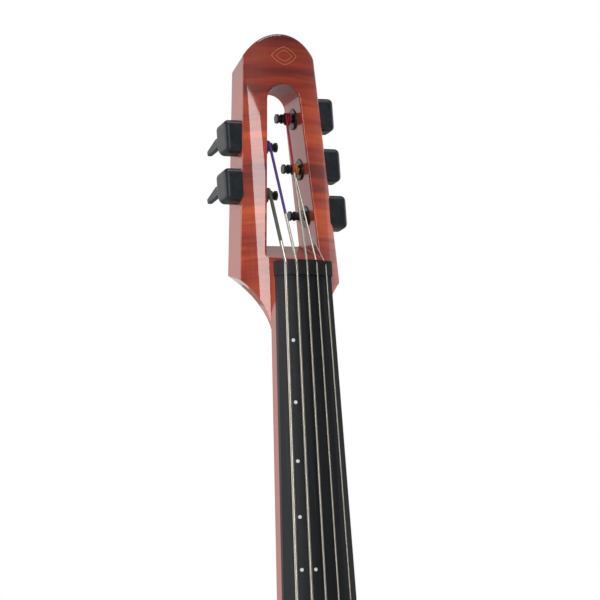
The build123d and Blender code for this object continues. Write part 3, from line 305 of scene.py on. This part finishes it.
def dress_frame():
    """Every CAD node gets its real finish."""
    # The last colour given to each flame_maple is the plain side colour, tinted pink as a painted
    # sheen.
    red = flame_maple("red_flame_maple", (0.62, 0.088, 0.010), (0.40, 0.034, 0.007),
                      (0.15, 0.008, 0.004), (0.42, 0.056, 0.030))
    give(red, "neck", "body_top")
    give(flame_maple("red_maple_back", (0.42, 0.06, 0.012), (0.34, 0.04, 0.009),
                     (0.16, 0.012, 0.006), (0.34, 0.05, 0.026), shade_top=False), "body_back")
    give(ebony(), "fingerboard")
    give(dark_finish("nut_black", (0.006, 0.006, 0.007), 0.5, specular=0.25), "nut")
    give(inlay_white("dot_inlay", (0.86, 0.86, 0.83)), "position_dots")
    give(plain_maple(), "bridge")
    give(dark_finish("black_plastic", (0.014, 0.014, 0.015), 0.5), "bridge_pickup", "battery_box",
         "battery_drawer", "electronics_cover", "volume_knob", "tone_knob")
    housing = dark_finish("tuner_black", (0.010, 0.013, 0.016), 0.36, specular=0.35)
    give(housing, "tuner_covers", *each("tuner_housing"), *each("tuner_key"))
    give(dark_finish("post_black", (0.006, 0.007, 0.009), 0.28), "tuner_bushings",
         *each("tuner_post"))
    give(dark_finish("black_metal", (0.016, 0.016, 0.018), 0.38, metallic=0.4), "tailpiece",
         "jack_plate")
    give(bare_metal("steel", (0.58, 0.58, 0.60), 0.3), "truss_rod", "wood_screws", "stand_plate",
         "neck_bolts", "potentiometers", "volume_shaft", "tone_shaft", *each("tuner_worm"))
    give(bare_metal("brass", (0.72, 0.52, 0.24), 0.3), "truss_rod_nut", *each("tuner_gear"))
    give(bare_metal("chrome", (0.78, 0.78, 0.80), 0.1), "jack_socket")
    give(inlay_white("green_board", (0.04, 0.22, 0.09)), "circuit_board")
    give(dark_finish("battery_can", (0.03, 0.035, 0.06), 0.35, metallic=0.5), "battery")
    give(string_finish("string_1_finish", (0.10, 0.11, 0.08), 33.0), "string_1")
    give(string_finish("string_2_finish", (0.085, 0.03, 0.26), 59.0), "string_2")
    give(string_finish("string_3_finish", (0.36, 0.006, 0.035), 99.5), "string_3")
    give(string_finish("string_4_finish", (0.65, 0.27, 0.02), 101.0), "string_4")
    give(string_finish("string_5_finish"), "string_5")


# ---------------------------------------------------------------- stage, lights, camera

def camera_direction():
    """Unit vector from the object to the camera."""
    level = math.cos(CAMERA_RISE)
    return Vector((-math.sin(CAMERA_TURN) * level, -math.cos(CAMERA_TURN) * level,
                   -math.sin(CAMERA_RISE)))


def make_camera():
    """Long-lens camera at the photograph's viewing angle."""
    toward = camera_direction()
    aim = Vector((0.0, NECK_PLANE_Y, NUT_Z)) + CAMERA_AIM
    right = (-toward).cross(Vector((0.0, 0.0, 1.0))).normalized()
    up = right.cross(-toward)
    cos_roll, sin_roll = math.cos(CAMERA_ROLL), math.sin(CAMERA_ROLL)
    rolled_right = right * cos_roll + up * sin_roll
    rolled_up = up * cos_roll - right * sin_roll
    data = bpy.data.cameras.new("camera")
    data.lens = CAMERA_LENS
    data.clip_end = 100.0
    camera = bpy.data.objects.new("camera", data)
    turn = Matrix((rolled_right, rolled_up, toward)).transposed()
    camera.matrix_world = Matrix.Translation(aim + toward * CAMERA_DISTANCE) @ turn.to_4x4()
    bpy.context.scene.collection.objects.link(camera)
    bpy.context.scene.camera = camera


def make_light(name, place, target, width, height, power, roll=0.0):
    """Rectangular softbox aimed at a point; roll turns it in its own plane, in degrees."""
    data = bpy.data.lights.new(name, "AREA")
    data.shape = "RECTANGLE"
    data.size, data.size_y = width, height
    data.energy = power
    lamp = bpy.data.objects.new(name, data)
    lamp.location = place
    aimed = (Vector(target) - Vector(place)).to_track_quat("-Z", "Y").to_matrix()
    lamp.rotation_euler = (aimed @ Matrix.Rotation(math.radians(roll), 3, "Z")).to_euler()
    bpy.context.scene.collection.objects.link(lamp)


def round_place(turn, distance, height):
    """Point around the head; turn 0 is straight in front and positive is to the right."""
    angle = math.radians(turn)
    return (distance * math.sin(angle), NECK_PLANE_Y - distance * math.cos(angle), height)


def make_lights():
    """Narrow softbox mirrored in the left cheek, broad ones at both sides, and one overhead."""
    head = (0.0, NECK_PLANE_Y, NUT_Z + 0.05)
    make_light("strip_left", round_place(-22.0, 2.2, NUT_Z + 0.245), head, 0.5, 1.21, 17.0,
               roll=-3.5)
    make_light("broad_right", round_place(102.0, 2.6, NUT_Z + 0.5), head, 2.4, 2.2, 14.0)
    make_light("broad_left", round_place(-108.0, 2.4, NUT_Z + 0.3), head, 1.6, 2.0, 20.0)
    make_light("top", (0.0, NECK_PLANE_Y - 1.0, NUT_Z + 2.4), head, 2.0, 1.2, 42.0)


def make_world():
    """White behind the object, grey on the camera's side and overhead."""
    world = bpy.data.worlds.new("studio")
    world.use_nodes = True
    tree = world.node_tree
    split = tree.nodes.new("ShaderNodeSeparateXYZ")
    tree.links.new(tree.nodes.new("ShaderNodeTexCoord").outputs["Generated"], split.inputs["Vector"])
    glow = ramp(tree, map_value(tree, split.outputs["Y"], -1.0, 1.0),
                [(0.0, (0.17, 0.17, 0.17)), (0.28, (0.24, 0.24, 0.24)), (0.5, (0.85, 0.85, 0.85)),
                 (0.7, (1.0, 1.0, 1.0))])
    overhead = map_value(tree, split.outputs["Z"], 0.38, 0.6)
    glow = blend_colours(tree, "MIX", overhead, glow, (0.22, 0.22, 0.22))
    tree.links.new(glow, tree.nodes["Background"].inputs["Color"])
    bpy.context.scene.world = world


def make_floor():
    """Large pale floor under the object."""
    mesh = bpy.data.meshes.new("floor")
    half, low = 30.0, CAD_BOX[0][2] - 0.25
    mesh.from_pydata([(-half, -half, low), (half, -half, low), (half, half, low), (-half, half, low)],
                     [], [(0, 1, 2, 3)])
    mesh.materials.append(floor_finish())
    floor = bpy.data.objects.new("floor", mesh)
    bpy.context.scene.collection.objects.link(floor)


# ---------------------------------------------------------------- detail pieces

def on_head_front(x, height, proud):
    """Point over the crowned front of the leaning head; x, height above the nut and proud in mm."""
    depth = HEAD_FRONT_DEPTH + HEAD_CROWN_RADIUS - math.sqrt(HEAD_CROWN_RADIUS ** 2 - x ** 2) - proud
    leaned_depth = depth * math.cos(HEAD_LEAN) + height * math.sin(HEAD_LEAN)
    leaned_height = height * math.cos(HEAD_LEAN) - depth * math.sin(HEAD_LEAN)
    return (x * MM, NECK_PLANE_Y + leaned_depth * MM, NUT_Z + leaned_height * MM)


def ribbon_loop(mesh, half_width, half_height, line, proud):
    """Closed pointed-oval line lying on the head's front."""
    steps = 48
    rows = []
    for step in range(steps):
        angle = 2 * math.pi * step / steps
        corner = []
        for grow in (-line / 2, line / 2):
            reach_x = (half_width + grow) * math.copysign(abs(math.cos(angle)) ** 1.5, math.cos(angle))
            reach_z = (half_height + grow) * math.copysign(abs(math.sin(angle)) ** 1.5, math.sin(angle))
            x = ORNAMENT_X + reach_x
            height = ORNAMENT_HEIGHT + reach_z
            corner.append(mesh.verts.new(on_head_front(x, height, proud)))
            corner.append(mesh.verts.new(on_head_front(x, height, -0.3)))
        rows.append(corner)
    for row, following in zip(rows, rows[1:] + rows[:1]):
        in_front, in_back, out_front, out_back = row
        n_in_front, n_in_back, n_out_front, n_out_back = following
        mesh.faces.new((in_front, out_front, n_out_front, n_in_front))
        mesh.faces.new((out_front, out_back, n_out_back, n_out_front))
        mesh.faces.new((out_back, in_back, n_in_back, n_out_back))
        mesh.faces.new((in_back, in_front, n_in_front, n_in_back))


def make_ornament():
    """Generic ornament let into the top of the head: two nested pointed ovals."""
    build = bmesh.new()
    ribbon_loop(build, 12.0, 8.5, 0.55, 0.12)
    ribbon_loop(build, 7.5, 5.0, 0.5, 0.12)
    bmesh.ops.recalc_face_normals(build, faces=build.faces)
    mesh = bpy.data.meshes.new("head_ornament")
    build.to_mesh(mesh)
    build.free()
    mesh.materials.append(inlay_white("ornament_inlay", (0.50, 0.20, 0.13)))
    piece = bpy.data.objects.new("head_ornament", mesh)
    bpy.context.scene.collection.objects.link(piece)
    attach(piece, "instrument")


def main():
    bpy.context.scene.view_settings.view_transform = "Standard"
    make_camera()
    make_world()
    make_lights()
    make_floor()
    dress_frame()
    make_ornament()


main()
